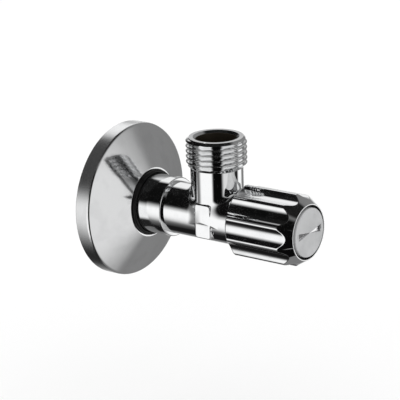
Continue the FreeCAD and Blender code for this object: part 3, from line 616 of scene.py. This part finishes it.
def handle_outline(angle):
    """The (radius, station) points at one angle, from the rear rim to the front ring and back inside."""
    radius = flute_radius(angle)
    rear_slope = (RIDGE_RADIUS - HANDLE_BACK_RADIUS) / (HANDLE_SHOULDER - HANDLE_BACK)
    cone_slope = (RIDGE_RADIUS - FRONT_RADIUS) / (HANDLE_FRONT - CONE_BACK)
    rear = Vector((radius, HANDLE_SHOULDER - (RIDGE_RADIUS - radius) / rear_slope))
    front = Vector((radius, CONE_BACK + (RIDGE_RADIUS - radius) / cone_slope))
    straight = Vector((0, 1))
    rear_line = Vector((-rear_slope, -1)).normalized()
    cone_line = Vector((-cone_slope, 1)).normalized()
    bevel = 0.15 * MM
    points = [Vector((HANDLE_BACK_RADIUS - bevel, HANDLE_BACK))]
    points += [Vector((HANDLE_BACK_RADIUS, HANDLE_BACK + bevel))]
    points += [bend(rear, rear_line, straight, 0.35 * MM, step / 4) for step in range(5)]
    points += [bend(front, -straight, cone_line, 0.3 * MM, step / 4) for step in range(5)]
    points += rounded([
        (FRONT_RADIUS, HANDLE_FRONT, 0.1 * MM), (CAP_RECESS, HANDLE_FRONT, 0.1 * MM), (CAP_RECESS, 75.8 * MM),
        (5.6 * MM, 75.8 * MM), (5.6 * MM, WEB_FRONT), (2.15 * MM, WEB_FRONT), (2.15 * MM, WEB_BACK),
        (BUSH_RADIUS, WEB_BACK), (BUSH_RADIUS, HUB_BACK), (HUB_RADIUS, HUB_BACK), (HUB_RADIUS, 73.0 * MM),
        (HANDLE_BORE, 73.0 * MM), (HANDLE_BORE, HANDLE_BACK)], steps=3)
    return points


def handle_shell():
    """The whole handle: one ring of vertices extruded along the outline and closed on itself."""
    angles = flute_angles()
    columns = [handle_outline(angle) for angle in angles]
    bm = bmesh.new()
    first = bmesh.ops.create_circle(bm, segments=len(angles), radius=1)["verts"]
    ring = list(first)
    for row in range(len(columns[0])):
        if row:
            made = bmesh.ops.extrude_edge_only(bm, edges=ring_edges(ring))["geom"]
            new_verts = [item for item in made if isinstance(item, bmesh.types.BMVert)]
            old_verts = set(ring)
            partner = {}
            for vert in new_verts:
                for edge in vert.link_edges:
                    other = edge.other_vert(vert)
                    if other in old_verts:
                        partner[other] = vert
            ring = [partner[vert] for vert in ring]
        for vert, angle, column in zip(ring, angles, columns):
            radius, station = column[row]
            vert.co = (-radius * math.cos(angle), -station, radius * math.sin(angle))
    bmesh.ops.bridge_loops(bm, edges=ring_edges(ring) + ring_edges(first))
    bmesh.ops.recalc_face_normals(bm, faces=bm.faces)
    return bm


handle = finish_mesh(handle_shell(), "handle_shell", 40)
handle_chrome = plate("handle_chrome", (0.03, 0.07), 0.0007)
# The handle's inner faces and the wall of the cap's recess are made rougher and painted near black: painted
# shade in the bore and in the groove round the cap.
inside = ramp(handle_chrome.tree, reach_from_axis(handle_chrome, "Z"), 9.3 * MM, 9.15 * MM)
recolour(handle_chrome, inside, (0.02, 0.02, 0.02, 1))
roughen(handle_chrome, inside, 0.35)
fit(handle, "handle", "chrome_plastic", handle_chrome.material, "handle")

# ---------------------------------------------------------------------------------------------
# Handle's fastening.  A serrated brass bush takes the spindle's end, and a steel screw with a lock
# washer holds the handle on.

keep("handle_bush", turned_brass)
keep("handle_lock_washer", steel)
keep("handle_screw", steel)

# ---------------------------------------------------------------------------------------------
# End cap.  A satin disc that clips into the handle's front, with a bow tie pressed into its face.

CAP_FRONT = 77.8 * MM
CAP_RADIUS = 8.35 * MM
CAP_BACK = 75.85 * MM
PLUG_BACK = 74.95 * MM
WEDGE_REACH = 6.5 * MM
WEDGE_TIP = 0.02 * MM
WEDGE_HALF_WIDTH = 1.25 * MM
WEDGE_DEPTH = 0.75 * MM
cap_outline = rounded([
    (0, CAP_FRONT), (CAP_RADIUS, CAP_FRONT, 0.4 * MM), (CAP_RADIUS, CAP_BACK), (5.55 * MM, CAP_BACK),
    (5.55 * MM, PLUG_BACK), (4.3 * MM, PLUG_BACK), (4.3 * MM, 76.5 * MM), (0, 76.5 * MM)])
cap = finish_mesh(lathe(cap_outline, steps=128), "marker_cap")
for side in (-1, 1):
    wedge = bmesh.new()
    tip = (0.0, WEDGE_TIP, WEDGE_TIP)
    for reach, half_width, depth in (tip, (WEDGE_REACH, WEDGE_HALF_WIDTH, WEDGE_DEPTH)):
        for across in (-half_width, half_width):
            for down in (-MM, depth):
                wedge.verts.new((side * reach, -CAP_FRONT + down, across))
    bmesh.ops.convex_hull(wedge, input=wedge.verts)
    bmesh.ops.recalc_face_normals(wedge, faces=wedge.faces)
    carve(cap, finish_mesh(wedge, "wedge"))
cap_satin = finish_of("cap_satin", (0.5, 0.505, 0.51, 1), (0.44, 0.445, 0.45, 1), (0.42, 0.52),
                      waviness=0.0006, grain=0.00004)
sunk = ramp(cap_satin.tree, along(cap_satin, "Y"), -CAP_FRONT + 0.012 * MM, -CAP_FRONT + 0.03 * MM)
middle = ramp(cap_satin.tree, reach_from_axis(cap_satin, "Z"), 7.2 * MM, 7.0 * MM)
bow_tie = maths(cap_satin.tree, "MULTIPLY", sunk, middle)
smoother = maths(cap_satin.tree, "MULTIPLY", bow_tie, 0.26)
polished = maths(cap_satin.tree, "SUBTRACT", cap_satin.gloss, smoother)
cap_satin.tree.links.new(bow_tie, cap_satin.shader.inputs["Metallic"])
cap_satin.tree.links.new(polished, cap_satin.shader.inputs["Roughness"])
recolour(cap_satin, bow_tie, (0.86, 0.86, 0.87, 1))
fit(cap, "handle", "satin_cap", cap_satin.material, "end_cap")

# ---------------------------------------------------------------------------------------------
# Studio.  The object stands clear above a white floor in a white room.  Only its polished faces see
# the other room: a dim one, hung with bright and black panels that draw the reflections.

studio = bpy.data.worlds.new("studio")
bpy.context.scene.world = studio
studio.use_nodes = True
tree = studio.node_tree
tree.nodes.clear()
direction = add(tree, "ShaderNodeTexCoord").outputs["Generated"]
split = add(tree, "ShaderNodeSeparateXYZ", {0: direction}).outputs
azimuth = maths(tree, "MULTIPLY", maths(tree, "ARCTAN2", split["Y"], split["X"]), math.degrees(1))
height = maths(tree, "MULTIPLY", maths(tree, "ARCSINE", split["Z"]), math.degrees(1))


def hang(room, turn, tilt, brightness, soft):
    """The room with one more panel, between two azimuths and two heights, in degrees."""
    middle, reach = (turn[0] + turn[1]) / 2, (turn[1] - turn[0]) / 2
    beside = maths(tree, "FLOORED_MODULO", maths(tree, "ADD", azimuth, 540.0 - middle), 360.0)
    beside = maths(tree, "ABSOLUTE", maths(tree, "SUBTRACT", beside, 180.0))
    there = maths(tree, "MULTIPLY", ramp(tree, beside, reach + soft[0], reach - soft[0]),
                  ramp(tree, height, tilt[0] - soft[1], tilt[0] + soft[1]))
    there = maths(tree, "MULTIPLY", there, ramp(tree, height, tilt[1] + soft[1], tilt[1] - soft[1]))
    return add(tree, "ShaderNodeMix", {"Factor": there, "A": room, "B": brightness}).outputs["Result"]


# What the metal mirrors: (azimuths, heights, brightness, softness of the sides and of top and bottom)
PANELS = [
    ((60, 200), (14, 62), 0.004, (8, 6)),
    ((0, 360), (54, 90), 0.01, (8, 6)),
    ((15, 62), (16, 62), 1.0, (8, 6)),
    ((136, 196), (-60, 6), 1.1, (8, 10)),
    ((196, 240), (-90, 46), 0.003, (5, 8)),
    ((120, 196), (-90, -46), 0.02, (8, 8)),
    ((60, 130), (-75, -48), 0.01, (8, 6)),
    ((62, 106), (-50, 16), 0.01, (6, 8)),
    ((240, 320), (-58, 30), 0.8, (8, 24)),
    ((308, 372), (-80, 40), 0.24, (32, 20)),
    ((319, 346), (-27, -9), 1.1, (4, 4)),
    ((297, 315), (-27, -9), 0.01, (4, 4)),
    ((18, 50), (-35, 5), 0.8, (8, 8)),
]
ROOM_BRIGHTNESS = 0.2
room = ROOM_BRIGHTNESS
for turn, tilt, brightness, soft in PANELS:
    room = hang(room, turn, tilt, brightness, soft)
glossy = add(tree, "ShaderNodeLightPath").outputs["Is Glossy Ray"]
seen = add(tree, "ShaderNodeMix", {"Factor": glossy, "A": 1.05, "B": room}).outputs["Result"]
background = add(tree, "ShaderNodeBackground", {"Color": (1, 1, 1, 1), "Strength": seen})
add(tree, "ShaderNodeOutputWorld", {"Surface": background.outputs[0]})

FLOOR_HEIGHT = -80 * MM
bm = bmesh.new()
bmesh.ops.create_grid(bm, x_segments=1, y_segments=1, size=3)
bmesh.ops.translate(bm, verts=bm.verts, vec=(0, 0, FLOOR_HEIGHT))
floor = finish_mesh(bm, "floor")
floor_white = bpy.data.materials.new("floor_white")
floor_white.use_nodes = True
floor_shader = floor_white.node_tree.nodes["Principled BSDF"]
floor_shader.inputs["Base Color"].default_value = (0.97, 0.97, 0.97, 1)
floor_shader.inputs["Specular IOR Level"].default_value = 0.0
floor.data.materials.append(floor_white)
floor.visible_glossy = False

bpy.context.scene.view_settings.view_transform = "Standard"

# Camera: a long lens, to the left of the handle and a little above it
AZIMUTH, ELEVATION, ROLL = math.radians(-53.26), math.radians(17.57), math.radians(-1.75)
LENS = 178.2
DISTANCE = 675.2 * MM
AIM = Vector((-1.25 * MM, -33.94 * MM, 4.5 * MM))
back = Vector((math.sin(AZIMUTH) * math.cos(ELEVATION), -math.cos(AZIMUTH) * math.cos(ELEVATION),
               math.sin(ELEVATION)))
right = Vector((math.cos(AZIMUTH), math.sin(AZIMUTH), 0))
up = back.cross(right)
camera_data = bpy.data.cameras.new("camera")
camera_data.lens = LENS
camera_data.clip_start = 0.01
camera = bpy.data.objects.new("camera", camera_data)
bpy.context.scene.collection.objects.link(camera)
turned = Matrix((right, up, back)).transposed() @ Matrix.Rotation(ROLL, 3, "Z")
camera.matrix_world = Matrix.Translation(AIM + back * DISTANCE) @ turned.to_4x4()
bpy.context.scene.camera = camera
